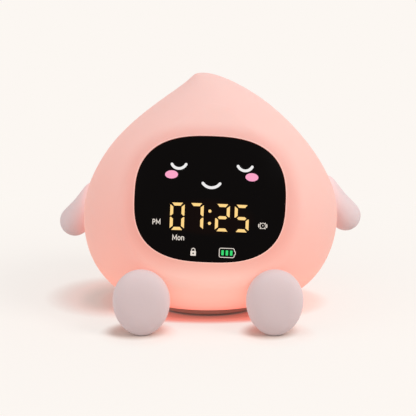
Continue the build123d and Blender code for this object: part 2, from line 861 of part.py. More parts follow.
def speaker_frame():
    """The speaker's pressed basket, glued behind the grille."""
    low = panel_back - speaker_depth
    basket = rod(speaker_radius, low, panel_back)
    basket -= rod(speaker_radius - speaker_wall, low + speaker_wall, panel_back + 1)
    for place in PolarLocations(basket_vent_ring, 6):
        basket -= place * rod(basket_vent_radius, low - 1, low + speaker_wall + 1)
    return back * Pos(0, speaker_row) * basket


def speaker_cone():
    """The paper cone with its rolled surround, dust cap and voice coil."""
    rim = speaker_radius - speaker_wall - seat_gap
    crest = panel_back - cone_gap
    upper = [
        (0, crest - cap_drop),
        (coil_radius, crest - coil_drop),
        (rim - roll_width, crest - roll_drop),
        (rim - roll_width / 2, crest),
        (rim, crest - roll_drop),
    ]
    lower = [(across, level - cone_thickness) for across, level in reversed(upper)]
    paper = revolve(Plane.XZ * make_face(Polyline(*upper, *lower, close=True)), Axis.Z)
    coil_low = panel_back - speaker_depth + speaker_wall + seat_gap
    coil_top = crest - coil_drop - cone_thickness / 2
    coil = rod(coil_radius, coil_low, coil_top)
    coil -= rod(coil_radius - cone_thickness, coil_low - 1, coil_top + 1)
    return back * Pos(0, speaker_row) * (paper + coil)


def speaker_magnet():
    low = panel_back - speaker_depth - magnet_height
    magnet = rod(magnet_radius, low, panel_back - speaker_depth, (0, speaker_row))
    return back * chamfer(magnet.edges().group_by(Axis.Z)[0], magnet_chamfer)


def main_board():
    board = slab(RectangleRounded(*main_board_size, main_board_corner), main_back, main_front)
    for place in panel_screw_places:
        board -= rod(boss_radius + hole_gap, main_back - 1, 0, place)
    for place in main_board_screw_places:
        board -= rod(screw_radius + hole_gap, main_back - 1, 0, place)
    return back * board


def board_screws():
    return back * seated(screw(small_screw_length), main_board_screw_places, main_front)


def behind_main_board(size, places):
    """Components that stand on the inner face of the main board."""
    return back * group([block(size[0], size[1], main_back - size[2], main_back, place) for place in places])


# ---------------------------------------------------------------- build
sides = {"left": -1, "right": 1}
cavity = trimmed(shade_wall, shade_wall)
clear_cavity = trimmed(shade_wall + seat_gap, shade_wall + seat_gap)
clear_hole = clear_cavity + back * slab(panel_outline(), -2 * shade_wall, 0)
seat_form = peach(-seat_gap)
limb_seats = {}
for side, sign in sides.items():
    limb_seats["arm_" + side] = arm_seat(side, sign)
    limb_seats["leg_" + side] = leg_seat(side, sign)

nodes = {
    "shade": shade,
    "lens": lens,
    "display_frame": display_frame,
    "light_mask": light_mask,
    "digit_guides": lambda: guides(digit_wells(seat_gap)),
    "sign_guides": lambda: guides(sign_wells(seat_gap)),
    "face_guides": lambda: guides(face_wells(seat_gap)),
    "display_board": display_board,
    "display_leds": display_leds,
    "display_screws": display_screws,
    "chassis": chassis,
    "base_plate": base_plate,
    "base_pad": base_pad,
    "base_screws": base_screws,
    "light_board": light_board,
    "light_leds": light_leds,
    "light_screws": light_screws,
    "tap_sensor": tap_sensor,
    "battery": battery,
    "battery_foam": battery_foam,
    "rear_panel": rear_panel,
    "panel_screws": panel_screws,
    "key_switches": key_switches,
    "power_knob": power_knob,
    "power_switch": power_switch,
    "usb_socket": usb_socket,
    "speaker_frame": speaker_frame,
    "speaker_cone": speaker_cone,
    "speaker_magnet": speaker_magnet,
    "main_board": main_board,
    "board_screws": board_screws,
    "control_chip": lambda: behind_main_board(chip_size, [chip_place]),
    "clock_crystal": lambda: behind_main_board(crystal_size, [crystal_place]),
    "lead_headers": lambda: behind_main_board(header_size, header_places),
}
for key_name in key_names:
    nodes["key_" + key_name] = lambda name=key_name: key(name)
    nodes["plunger_" + key_name] = lambda name=key_name: plunger(name)
for side, sign in sides.items():
    nodes["arm_" + side] = lambda side=side, sign=sign: arm(side, sign)
    nodes["leg_" + side] = lambda side=side: leg(side)

os.makedirs("parts", exist_ok=True)
for node, make in nodes.items():
    export_step(make(), f"parts/{node}.step")
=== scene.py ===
import json
from math import asin, atan2, cos, degrees, pi, radians, sin, sqrt

import bmesh
import bpy
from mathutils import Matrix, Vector


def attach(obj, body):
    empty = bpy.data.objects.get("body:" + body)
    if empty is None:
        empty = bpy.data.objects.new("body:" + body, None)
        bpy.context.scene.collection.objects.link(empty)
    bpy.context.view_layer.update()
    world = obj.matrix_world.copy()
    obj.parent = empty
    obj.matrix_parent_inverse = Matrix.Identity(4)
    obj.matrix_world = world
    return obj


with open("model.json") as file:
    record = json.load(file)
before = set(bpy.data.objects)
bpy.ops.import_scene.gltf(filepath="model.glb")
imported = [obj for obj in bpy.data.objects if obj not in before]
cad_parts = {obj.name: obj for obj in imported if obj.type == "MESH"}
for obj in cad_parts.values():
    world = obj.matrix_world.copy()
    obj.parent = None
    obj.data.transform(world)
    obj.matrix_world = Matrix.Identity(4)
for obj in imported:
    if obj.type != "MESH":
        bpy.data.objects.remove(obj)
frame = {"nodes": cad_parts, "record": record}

scene = bpy.context.scene
nodes = frame["nodes"]
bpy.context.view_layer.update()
mm = 0.001

# the clock's window, in mm and degrees: domed, tilted back and rolled a little clockwise
window = {
    "centre": (1.0, -46.4514, 67.1),
    "tilt": 20.0,
    "roll": 2.1,
    "domeRadius": 130.0,
    "recess": 0.4,
    "width": 73.8,
    "height": 61.8,
    "power": 2.7,
}


# 8-bit colour to Blender's linear values
def srgb(r, g, b):
    out = []
    for c in (r, g, b):
        c = c / 255
        out.append(c / 12.92 if c <= 0.04045 else ((c + 0.055) / 1.055) ** 2.4)
    return (*out, 1.0)


# in mm and degrees
camera = {
    "aim": (0.0, 0.0, 50.5),
    "distance": 700.0,
    "elevation": 14.0,
    "lens": 116.48,
    "sensor": 36.0,
}


def makeCamera(c):
    cam = bpy.data.objects.new("camera", bpy.data.cameras.new("camera"))
    scene.collection.objects.link(cam)
    e = radians(c["elevation"])
    back = Vector((0, -cos(e), sin(e)))
    cam.location = (Vector(c["aim"]) + back * c["distance"]) * mm
    cam.rotation_euler = (-back).to_track_quat("-Z", "Y").to_euler()
    cam.data.lens = c["lens"]
    cam.data.sensor_width = c["sensor"]
    scene.camera = cam


studio = {
    "backdrop": srgb(252, 247, 242),
    "ambientColour": (1.0, 0.985, 0.985, 1),
    "ambient": 0.625,
    "floorSize": 8.0,
    "floorCells": 8,
    # patches of floor: middle and half width and depth in m, how many times those it reaches, share or colour
    "litFloor": [
        ((0.000, 0.000), (0.055, 0.0325), 1.28, 0.97),  # under the body
        ((-0.050, 0.008), (0.020, 0.020), 2.4, 0.92),  # the longer shadow on the left
        ((-0.034, -0.053), (0.011, 0.011), 2.3, 0.95),  # in front of the soles
        ((0.034, -0.053), (0.011, 0.011), 2.3, 0.95),
        ((-0.020, 0.000), (0.060, 0.050), 5.0, 0.28),  # faintly, all round
    ],
    "floorBounce": 0.75,  # how pale the floor is for the light that it throws back at the clock
    # painted shadow: patches that darken the floor's colour as the camera sees it
    "paintedFloorShadows": [  # the deepest of the shadow on the left, under the body and at each sole
        ((-0.052, 0.004), (0.008, 0.012), 2.5, (0.72, 0.82, 0.82, 1)),
        ((0.000, -0.005), (0.040, 0.023), 1.2, (0.72, 0.70, 0.66, 1)),
        ((-0.036, -0.048), (0.010, 0.009), 1.8, (0.72, 0.62, 0.58, 1)),
        ((0.030, -0.048), (0.009, 0.009), 1.8, (0.72, 0.62, 0.58, 1)),
    ],
    "lampsLookAt": (0, 0, 0.05),
    "lamps": [  # name, place (m), size (m), power (W), colour
        ("keyLamp", (0.80, -0.45, 0.85), 0.55, 6.5, (1.0, 0.985, 0.97)),
        ("fillLamp", (-0.85, -0.40, 0.50), 0.80, 2.1, (1.0, 0.985, 0.985)),
    ],
}


def makeStudio(s):
    world = bpy.data.worlds.new("studio")
    scene.world = world
    world.use_nodes = True
    tree = world.node_tree
    tree.nodes.clear()
    out = tree.nodes.new("ShaderNodeOutputWorld")
    mix = tree.nodes.new("ShaderNodeMixShader")
    ambient = tree.nodes.new("ShaderNodeBackground")
    ambient.inputs["Color"].default_value = s["ambientColour"]
    ambient.inputs["Strength"].default_value = s["ambient"]
    shown = tree.nodes.new("ShaderNodeBackground")
    shown.inputs["Color"].default_value = s["backdrop"]
    shown.inputs["Strength"].default_value = 1.0
    tree.links.new(seenDirectly(tree), mix.inputs["Fac"])
    tree.links.new(ambient.outputs[0], mix.inputs[1])
    tree.links.new(shown.outputs[0], mix.inputs[2])
    tree.links.new(mix.outputs[0], out.inputs["Surface"])

    floor = bpy.data.objects.new("floor", gridMesh("floor", s["floorSize"], s["floorCells"]))
    scene.collection.objects.link(floor)
    floor.data.materials.append(floorMaterial(s))

    for name, place, size, power, colour in s["lamps"]:
        lamp = bpy.data.lights.new(name, "AREA")
        lamp.shape = "DISK"
        lamp.size = size
        lamp.energy = power
        lamp.color = colour
        obj = bpy.data.objects.new(name, lamp)
        obj.location = place
        aim = Vector(s["lampsLookAt"]) - Vector(place)
        obj.rotation_euler = aim.to_track_quat("-Z", "Y").to_euler()
        scene.collection.objects.link(obj)


# 1 for camera, glossy and transmission rays, 0 for the light that falls on things
def seenDirectly(tree):
    path = tree.nodes.new("ShaderNodeLightPath")
    first = mathStep(tree, "ADD", path.outputs["Is Camera Ray"], path.outputs["Is Glossy Ray"])
    return mathStep(tree, "ADD", first, path.outputs["Is Transmission Ray"], clamp=True)


def gridMesh(name, size, cells):
    bm = bmesh.new()
    bmesh.ops.create_grid(bm, x_segments=cells, y_segments=cells, size=size / 2)
    mesh = bpy.data.meshes.new(name)
    bm.to_mesh(mesh)
    bm.free()
    return mesh


# near the clock the floor is lit and takes its shadow and glow, deepened in a few patches by painted shadow;
# further out it turns into plain backdrop
def floorMaterial(s):
    mat = bpy.data.materials.new("paleFloor")
    mat.use_nodes = True
    tree = mat.node_tree
    tree.nodes.clear()
    out = tree.nodes.new("ShaderNodeOutputMaterial")
    add = tree.nodes.new("ShaderNodeAddShader")
    plain = tree.nodes.new("ShaderNodeEmission")
    plain.inputs["Color"].default_value = s["backdrop"]
    lit = tree.nodes.new("ShaderNodeBsdfDiffuse")
    share = 0.0
    for middle, size, reach, most in s["litFloor"]:
        share = mathStep(tree, "MAXIMUM", floorPatch(tree, middle, size, reach, most), share)
    direct = seenDirectly(tree)
    bounce = mathStep(tree, "MULTIPLY", mathStep(tree, "SUBTRACT", 1.0, direct), s["floorBounce"])
    scale = mathStep(tree, "ADD", mathStep(tree, "MULTIPLY", share, direct), bounce)
    tint = addNode(tree, "ShaderNodeVectorMath", operation="SCALE")
    tint.inputs[0].default_value = s["backdrop"][:3]
    tree.links.new(scale, tint.inputs["Scale"])
    colour = tint.outputs[0]
    # painted shadow: the floor's colour is darkened in these patches
    for middle, size, reach, shade in s["paintedFloorShadows"]:
        patch = mathStep(tree, "MULTIPLY", floorPatch(tree, middle, size, reach, 1.0), direct)
        colour = mixColours(tree, patch, colour, shade, "MULTIPLY")
    tree.links.new(colour, lit.inputs["Color"])
    rest = mathStep(tree, "SUBTRACT", 1.0, share)
    tree.links.new(mathStep(tree, "MULTIPLY", direct, rest), plain.inputs["Strength"])
    tree.links.new(lit.outputs[0], add.inputs[0])
    tree.links.new(plain.outputs[0], add.inputs[1])
    tree.links.new(add.outputs[0], out.inputs["Surface"])
    return mat


def floorPatch(tree, middle, size, reach, most):
    point = objectPoint(tree)
    steps = []
    for place, half, axis in zip(middle, size, ((1, 0, 0), (0, 1, 0))):
        along = dotWith(tree, point, Vector(axis) / half)
        steps.append(mathStep(tree, "SUBTRACT", along, place / half))
    return mapRange(tree, hypotenuse(tree, *steps), 1.0, reach, most, 0.0)


def principled(name, colour, roughness):
    mat = bpy.data.materials.new(name)
    mat.use_nodes = True
    bsdf = mat.node_tree.nodes["Principled BSDF"]
    bsdf.inputs["Base Color"].default_value = colour
    bsdf.inputs["Roughness"].default_value = roughness
    return mat, mat.node_tree, bsdf


def addNode(tree, kind, **values):
    node = tree.nodes.new(kind)
    for key, value in values.items():
        setattr(node, key, value)
    return node


def objectPoint(tree):
    return addNode(tree, "ShaderNodeTexCoord").outputs["Object"]


# one Math node; a and b are sockets or numbers
def mathStep(tree, operation, a, b=None, clamp=False):
    node = addNode(tree, "ShaderNodeMath", operation=operation, use_clamp=clamp)
    for index, value in enumerate((a, b)):
        if value is None:
            continue
        if isinstance(value, (int, float)):
            node.inputs[index].default_value = value
        else:
            tree.links.new(value, node.inputs[index])
    return node.outputs[0]


def dotWith(tree, vector, axis):
    node = addNode(tree, "ShaderNodeVectorMath", operation="DOT_PRODUCT")
    tree.links.new(vector, node.inputs[0])
    node.inputs[1].default_value = axis
    return node.outputs["Value"]


def lengthOf(tree, vector):
    node = addNode(tree, "ShaderNodeVectorMath", operation="LENGTH")
    tree.links.new(vector, node.inputs[0])
    return node.outputs["Value"]


def hypotenuse(tree, a, b):
    squares = mathStep(tree, "ADD", mathStep(tree, "POWER", a, 2), mathStep(tree, "POWER", b, 2))
    return mathStep(tree, "SQRT", squares)


def mapRange(tree, value, low, high, outLow=0.0, outHigh=1.0, smooth=True):
    kind = "SMOOTHSTEP" if smooth else "LINEAR"
    node = addNode(tree, "ShaderNodeMapRange", interpolation_type=kind)
    tree.links.new(value, node.inputs["Value"])
    node.inputs["From Min"].default_value = low
    node.inputs["From Max"].default_value = high
    node.inputs["To Min"].default_value = outLow
    node.inputs["To Max"].default_value = outHigh
    return node.outputs["Result"]


noiseSpan = (0.3, 0.7)  # nearly all values of a noise lie between these two


# a noise stretched from low to high
def spread(tree, value, low, high):
    return mapRange(tree, value, *noiseSpan, low, high)


def ramp(tree, value, stops):
    node = addNode(tree, "ShaderNodeValToRGB")
    node.color_ramp.interpolation = "B_SPLINE"
    while len(node.color_ramp.elements) < len(stops):
        node.color_ramp.elements.new(0.5)
    for element, (place, colour) in zip(node.color_ramp.elements, stops):
        element.position = place
        element.color = colour
    tree.links.new(value, node.inputs["Fac"])
    return node.outputs["Color"]


# a and b are colours or sockets; a Mix node keeps its colours in sockets 6 and 7, and the result in 2
def mixColours(tree, factor, a, b, blend="MIX"):
    node = addNode(tree, "ShaderNodeMix", data_type="RGBA", blend_type=blend)
    tree.links.new(factor, node.inputs["Factor"])
    for index, colour in ((6, a), (7, b)):
        if isinstance(colour, tuple):
            node.inputs[index].default_value = colour
        else:
            tree.links.new(colour, node.inputs[index])
    return node.outputs[2]


def noise(tree, vector, scale, detail=2.0, roughness=0.5):
    node = addNode(tree, "ShaderNodeTexNoise")
    tree.links.new(vector, node.inputs["Vector"])
    node.inputs["Scale"].default_value = scale
    node.inputs["Detail"].default_value = detail
    node.inputs["Roughness"].default_value = roughness
    return node.outputs["Fac"]


grainDepth = 0.0001  # m, at full strength


def addBump(tree, bsdf, height, strength, distance=grainDepth):
    node = addNode(tree, "ShaderNodeBump")
    node.inputs["Distance"].default_value = distance
    node.inputs["Strength"].default_value = strength
    tree.links.new(height, node.inputs["Height"])
    tree.links.new(node.outputs["Normal"], bsdf.inputs["Normal"])


# the window's own axes: right, up and out of the clock
def faceAxes(w):
    t, r = radians(w["tilt"]), radians(w["roll"])
    out = Vector((0, -cos(t), sin(t)))
    right = Vector((cos(r), -sin(r) * sin(t), -sin(r) * cos(t)))
    return right, out.cross(right), out


# how far a point lies from a centre along an axis, as a multiple of reach (mm)
def alongAxis(tree, point, centre, axis, reach):
    along = mathStep(tree, "SUBTRACT", dotWith(tree, point, axis), centre.dot(axis))
    return mathStep(tree, "DIVIDE", along, reach * mm)


# the three sockets that make silicone milky
def addMilk(bsdf, look):
    bsdf.inputs["Subsurface Weight"].default_value = look["milk"]
    bsdf.inputs["Subsurface Radius"].default_value = look["milkRadius"]
    bsdf.inputs["Subsurface Scale"].default_value = look["milkDepth"]


# milky silicone lit from inside: the light is strongest low down, and weaker in a band round the window
shadeLook = {
    "skin": (0.62, 0.48, 0.44, 1),
    "roughness": 0.62,
    "specular": 0.25,
    "glow": [  # by height from bottom to top, as linear colours
        (0.00, (0.66, 0.02, 0.00, 1)), (0.10, (0.60, 0.15, 0.09, 1)), (0.20, (0.44, 0.09, 0.045, 1)),
        (0.42, (0.37, 0.055, 0.028, 1)), (0.70, (0.34, 0.11, 0.085, 1)), (1.00, (0.29, 0.13, 0.125, 1)),
    ],
    "bottom": 4.0,
    "top": 121.0,
    "sides": (46.0, 66.0, 0.80),  # the glow is weaker on the flanks
    "band": 1.26,  # outer edge of the dimmer band, as a multiple of the window's outline
    "bandShade": 0.86,
    # painted shade: a darker skin colour for the band round the window
    "bandShadeSkin": (0.61, 0.385, 0.345, 1),
    # painted highlight at the window's edge: the rim's paler skin and stronger glow
    "rim": 1.022,  # outer edge of the bright rim right at the window
    "rimShade": 1.12,
    "rimHighlightSkin": (0.80, 0.66, 0.60, 1),
    "behind": (-12.0, -2.0),  # the band ends here on its way to the back
    "spot": (0.0, -46.0, 20.0),  # the lamps inside shine paler through the wall low in front
    "spotReach": (8.0, 44.0),
    "spotGlow": (0.02, 0.075, 0.065),
    "cloud": (0.97, 1.03),  # how much the glow varies from place to place
    "cloudScale": 22,
    "grainScale": 1800,
    "grain": 0.12,
    "milk": 0.25,
    "milkDepth": 0.004,
    "milkRadius": (1.0, 0.45, 0.35),
}


def shadeMaterial(look, w):
    mat, tree, bsdf = principled("glowingSilicone", look["skin"], look["roughness"])
    point = objectPoint(tree)
    height = dotWith(tree, point, (0, 0, 1))
    level = mapRange(tree, height, look["bottom"] * mm, look["top"] * mm, smooth=False)
    offset = addNode(tree, "ShaderNodeVectorMath", operation="SUBTRACT")
    tree.links.new(point, offset.inputs[0])
    offset.inputs[1].default_value = Vector(look["spot"]) * mm
    first, last = look["spotReach"]
    spot = mapRange(tree, lengthOf(tree, offset.outputs[0]), first * mm, last * mm, 1.0, 0.0)
    glow = addNode(tree, "ShaderNodeVectorMath", operation="MULTIPLY_ADD")
    glow.inputs[0].default_value = look["spotGlow"]
    tree.links.new(spot, glow.inputs[1])
    tree.links.new(ramp(tree, level, look["glow"]), glow.inputs[2])
    tree.links.new(glow.outputs[0], bsdf.inputs["Emission Color"])
    centre = Vector(w["centre"]) * mm
    shares = []
    for axis, size in zip(faceAxes(w), (w["width"], w["height"])):  # right, then up
        share = mathStep(tree, "ABSOLUTE", alongAxis(tree, point, centre, axis, size / 2))
        shares.append(mathStep(tree, "POWER", share, w["power"]))
    ring = mathStep(tree, "POWER", mathStep(tree, "ADD", *shares), 1 / w["power"])
    inBand = mapRange(tree, ring, look["rim"], look["band"], 1.0, 0.0)
    band = mathStep(tree, "SUBTRACT", 1.0, mathStep(tree, "MULTIPLY", inBand, 1.0 - look["bandShade"]))
    # painted highlight: the glow is made stronger right at the window's edge
    inRim = mapRange(tree, ring, 1.0, look["rim"], 1.0, 0.0)
    rim = mathStep(tree, "MULTIPLY", inRim, look["rimShade"] - look["bandShade"])
    edge = mathStep(tree, "ADD", band, rim)
    first, last = look["behind"]
    behind = mapRange(tree, dotWith(tree, point, (0, 1, 0)), first * mm, last * mm)
    front = mathStep(tree, "SUBTRACT", 1.0, behind)
    dim = mathStep(tree, "MULTIPLY", front, mathStep(tree, "SUBTRACT", edge, 1.0))
    # painted shade: the skin colour is darkened in the band round the window
    skin = mixColours(tree, mathStep(tree, "MULTIPLY", front, inBand), look["skin"], look["bandShadeSkin"])
    # painted highlight: a paler skin right at the window's edge
    skin = mixColours(tree, mathStep(tree, "MULTIPLY", front, inRim), skin, look["rimHighlightSkin"])
    tree.links.new(skin, bsdf.inputs["Base Color"])
    first, last, weak = look["sides"]
    aside = mathStep(tree, "ABSOLUTE", dotWith(tree, point, (1, 0, 0)))
    flanks = mapRange(tree, aside, first * mm, last * mm, 1.0, weak)
    cloud = spread(tree, noise(tree, point, look["cloudScale"]), *look["cloud"])
    strength = mathStep(tree, "MULTIPLY", mathStep(tree, "ADD", dim, 1.0), cloud)
    strength = mathStep(tree, "MULTIPLY", strength, flanks)
    tree.links.new(strength, bsdf.inputs["Emission Strength"])
    bsdf.inputs["Specular IOR Level"].default_value = look["specular"]
    addMilk(bsdf, look)
    addBump(tree, bsdf, noise(tree, point, look["grainScale"], 3), look["grain"])
    return mat


# painted glow: the limbs glow with the shade's light where they stand close to it
limbLook = {
    "dark": (0.72, 0.585, 0.59, 1),
    "pale": (0.75, 0.615, 0.62, 1),
    "clouds": (0.2, 0.8),
    "glow": [  # by distance from the shade
        (0.00, (0.66, 0.20, 0.16, 1)), (0.24, (0.10, 0.045, 0.04, 1)), (0.55, (0.02, 0.02, 0.02, 1)),
        (1.00, (0.0, 0.0, 0.0, 1)),
    ],
    "glowFrom": 0.99,  # in half widths and half depths of the shade
    "glowTo": 1.42,
    "shadeOval": (65.5, 58.5),
    "legs": (-40.0, -5.0, 1.3),  # the shade curves away from the legs, so they count as further off
    "roughness": 0.72,
    "cloudScale": 60,
    "grainScale": 2200,
    "grain": 0.15,
    "milk": 0.15,
    "milkDepth": 0.003,
    "milkRadius": (1.0, 0.6, 0.5),
}


def limbMaterial(look):
    mat, tree, bsdf = principled("softTouchSilicone", look["pale"], look["roughness"])
    point = objectPoint(tree)
    cloud = noise(tree, point, look["cloudScale"], 3)
    tint = ramp(tree, cloud, list(zip(look["clouds"], (look["dark"], look["pale"]))))
    tree.links.new(tint, bsdf.inputs["Base Color"])
    width, depth = look["shadeOval"]
    across = dotWith(tree, point, (1 / (width * mm), 0, 0))
    along = dotWith(tree, point, (0, 1 / (depth * mm), 0))
    first, last, more = look["legs"]
    legs = mapRange(tree, dotWith(tree, point, (0, 1, 0)), first * mm, last * mm, more, 1.0)
    away = mathStep(tree, "MULTIPLY", hypotenuse(tree, across, along), legs)
    # painted glow, strongest close to the shade
    near = mapRange(tree, away, look["glowFrom"], look["glowTo"], smooth=False)
    tree.links.new(ramp(tree, near, look["glow"]), bsdf.inputs["Emission Color"])
    bsdf.inputs["Emission Strength"].default_value = 1.0
    addMilk(bsdf, look)
    addBump(tree, bsdf, noise(tree, point, look["grainScale"], 3), look["grain"])
    return mat


windowLook = {
    "colour": srgb(8, 6, 6),
    "specular": 0.03,
    "polish": (0.13, 0.19),
    "hazeScale": 90,
    # painted glow: a warm halo on the window round the lit digits
    "stray": (0.0027, 0.0004, 0.0, 1),  # the lit digits warm the tinted window round them a little
    "strayOval": (23.0, 9.5),
    "strayFade": (0.70, 1.05),
}


def windowMaterial(look, w, drop):
    mat, tree, bsdf = principled("smokedWindow", look["colour"], look["polish"][0])
    bsdf.inputs["Specular IOR Level"].default_value = look["specular"]
    point = objectPoint(tree)
    axes = faceAxes(w)
    centre = (Vector(w["centre"]) - drop * axes[1]) * mm
    # painted glow round the digits
    steps = [alongAxis(tree, point, centre, axis, reach) for axis, reach in zip(axes, look["strayOval"])]
    stray = mapRange(tree, hypotenuse(tree, *steps), *look["strayFade"], 1.0, 0.0)
    bsdf.inputs["Emission Color"].default_value = look["stray"]
    tree.links.new(stray, bsdf.inputs["Emission Strength"])
    haze = spread(tree, noise(tree, point, look["hazeScale"]), *look["polish"])
    tree.links.new(haze, bsdf.inputs["Roughness"])
    return mat


# moulded pieces: colour, roughness, then grain size, grain depth and shine where they differ
mouldedLooks = {
    "black_plastic": ("blackPlastic", srgb(34, 34, 35), 0.5),
    "lamp_chip": ("lampChip", srgb(236, 220, 150), 0.35),
    "white_plastic": ("whitePlastic", srgb(236, 232, 228), 0.45),
    # painted shade: the base plate gets this darker colour for the shade under the body
    "warm_grey_plastic": ("shadedBasePlastic", srgb(166, 146, 134), 0.5),
    "grey_plastic": ("greyPlastic", srgb(205, 190, 190), 0.4),
    "pad_rubber": ("padRubber", srgb(215, 175, 160), 0.75),
    "foam": ("foamPad", srgb(60, 60, 62), 0.95, 900, 0.5, 0.2),
    "speaker_paper": ("speakerPaper", srgb(46, 44, 43), 0.85, 900, 0.4, 0.2),
}
metalLooks = {
    "screw_steel": ("zincSteel", srgb(196, 197, 200), 0.3),
    "battery_foil": ("batteryFoil", srgb(190, 192, 196), 0.25),
}
clouding = {
    "shades": (0.94, 1.04),  # the darkest and palest that a moulded colour gets
    "span": (0.25, 0.75),
    "scale": 45,
}


def mouldedMaterial(name, colour, roughness, grain=1500, depth=0.15, specular=0.5):
    mat, tree, bsdf = principled(name, colour, roughness)
    bsdf.inputs["Specular IOR Level"].default_value = specular
    point = objectPoint(tree)
    tints = [tuple(min(1.0, c * shade) for c in colour[:3]) + (1,) for shade in clouding["shades"]]
    tint = ramp(tree, noise(tree, point, clouding["scale"], 3), list(zip(clouding["span"], tints)))
    tree.links.new(tint, bsdf.inputs["Base Color"])
    addBump(tree, bsdf, noise(tree, point, grain, 3), depth)
    return mat


# fine scratches, as shares of a metal's roughness from the shiniest to the dullest
scratches = {
    "worn": (0.8, 1.25),
    "scale": 700,
    "depth": 0.00005,
    "strength": 0.1,
}


def metalMaterial(name, colour, roughness):
    mat, tree, bsdf = principled(name, colour, roughness)
    bsdf.inputs["Metallic"].default_value = 1.0
    scratch = noise(tree, objectPoint(tree), scratches["scale"], 4)
    shiny, dull = [share * roughness for share in scratches["worn"]]
    tree.links.new(spread(tree, scratch, shiny, dull), bsdf.inputs["Roughness"])
    addBump(tree, bsdf, scratch, scratches["strength"], scratches["depth"])
    return mat


litPlastic = {"roughness": 0.2, "specular": 0.12}


def lightMaterial(name, colour, strength, body):
    mat, _, bsdf = principled(name, body, litPlastic["roughness"])
    bsdf.inputs["Specular IOR Level"].default_value = litPlastic["specular"]
    bsdf.inputs["Emission Color"].default_value = colour
    bsdf.inputs["Emission Strength"].default_value = strength
    return mat


boardLook = {
    "mask": srgb(22, 88, 48),
    "paleMask": srgb(30, 104, 60),
    "gaps": srgb(16, 70, 38),
    "tracks": 420,
    "roughness": 0.38,
}


def boardMaterial(look):
    mat, tree, bsdf = principled("solderMask", look["mask"], look["roughness"])
    tracks = addNode(tree, "ShaderNodeTexBrick")
    tree.links.new(objectPoint(tree), tracks.inputs["Vector"])
    tracks.inputs["Scale"].default_value = look["tracks"]
    tracks.inputs["Color1"].default_value = look["mask"]
    tracks.inputs["Color2"].default_value = look["paleMask"]
    tracks.inputs["Mortar"].default_value = look["gaps"]
    tree.links.new(tracks.outputs["Color"], bsdf.inputs["Base Color"])
    return mat


def slotMaterials():
    made = {
        "shade_silicone": shadeMaterial(shadeLook, window),
        "limb_silicone": limbMaterial(limbLook),
        "smoked_window": windowMaterial(windowLook, window, digits["drop"]),
        "circuit_board": boardMaterial(boardLook),
        "light_guide": mouldedMaterial("milkyGuide", srgb(240, 236, 226), 0.2),
    }
    for slot, look in mouldedLooks.items():
        made[slot] = mouldedMaterial(*look)
    for slot, look in metalLooks.items():
        made[slot] = metalMaterial(*look)
    return made


def dressNodes():
    made = slotMaterials()
    for part in frame["record"]["subparts"]:
        mesh = nodes[part["node"]].data
        mesh.materials.clear()
        mesh.materials.append(made[part["material_slot"]])
        for poly in mesh.polygons:
            poly.material_index = 0


# the lit display is made of thin inlays that follow the dome of the window, in mm
inlays = {
    "thickness": 0.05,
    "proud": 0.06,
    "longestEdge": 0.8,  # outlines are split into edges no longer than this, so that they follow the dome
}


# a point of the window's surface, u right and v up of its middle
def onDome(u, v, lift):
    right, up, out = faceAxes(window)
    radius = window["domeRadius"] - window["recess"] + lift
    w = sqrt(radius * radius - u * u - v * v) - window["domeRadius"]
    return (Vector(window["centre"]) + right * u + up * v + out * w) * mm


def inlay(name, outlines, material):
    bm = bmesh.new()
    for outline in outlines:
        addPrism(bm, outline)
    bmesh.ops.recalc_face_normals(bm, faces=bm.faces)
    mesh = bpy.data.meshes.new(name)
    bm.to_mesh(mesh)
    bm.free()
    obj = bpy.data.objects.new(name, mesh)
    scene.collection.objects.link(obj)
    mesh.materials.append(material)
    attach(obj, "root")


# a closed thin solid on the dome, from an outline, or from a list of outlines where it has holes
def addPrism(bm, outline):
    rings = outline if isinstance(outline[0][0], (list, tuple)) else [outline]
    rings = [dense(ring) for ring in rings]
    top, low = [], []
    for ring in rings:
        top.append([bm.verts.new(onDome(u, v, inlays["proud"])) for u, v in ring])
        low.append([bm.verts.new(onDome(u, v, inlays["proud"] - inlays["thickness"])) for u, v in ring])
    for side in (top, low):
        edges = []
        for ring in side:
            edges += [bm.edges.new((ring[i - 1], ring[i])) for i in range(len(ring))]
        bmesh.ops.triangle_fill(bm, use_beauty=True, edges=edges)
    for upper, lower in zip(top, low):
        for i in range(len(upper)):
            bm.faces.new((upper[i - 1], upper[i], lower[i], lower[i - 1]))


def dense(points):
    out = []
    for i, end in enumerate(points):
        start = Vector(points[i - 1])
        run = Vector(end) - start
        pieces = max(1, round(run.length / inlays["longestEdge"] + 0.5))
        out += [tuple(start + run * step / pieces) for step in range(1, pieces + 1)]
    return out


def ovalPoints(u, v, width, height, count=24):
    turns = [2 * pi * i / count for i in range(count)]
    return [(u + width / 2 * cos(a), v + height / 2 * sin(a)) for a in turns]


sharpest = 0.35  # keeps the corners of a sharply bent line from growing long


# the outline of a line of even width with round ends, or two rings where it is closed
def stroke(points, width, closed=False, capSteps=8):
    half = width / 2
    pts = [Vector(p) for p in points]
    count = len(pts)
    left, right = [], []
    for i, p in enumerate(pts):
        directions = []
        if i > 0 or closed:
            directions.append((p - pts[i - 1]).normalized())
        if i < count - 1 or closed:
            directions.append((pts[(i + 1) % count] - p).normalized())
        mean = sum(directions, Vector((0, 0))).normalized()
        normal = Vector((-mean.y, mean.x))
        stretch = 1 / max(sharpest, normal.dot(Vector((-directions[0].y, directions[0].x))))
        left.append(tuple(p + normal * half * stretch))
        right.append(tuple(p - normal * half * stretch))
    if closed:
        return [left, right]
    end = capPoints(pts[-1], pts[-1] - pts[-2], half, capSteps)
    begin = capPoints(pts[0], pts[0] - pts[1], half, capSteps)
    return left + end + right[::-1] + begin


# the round end of a line that runs in a direction, from its left side to its right
def capPoints(centre, direction, radius, steps):
    first = degrees(atan2(direction.x, -direction.y))
    turn = 180 / steps
    return arcPoints(centre.x, centre.y, radius, first - turn, first - 180 + turn, steps - 2)


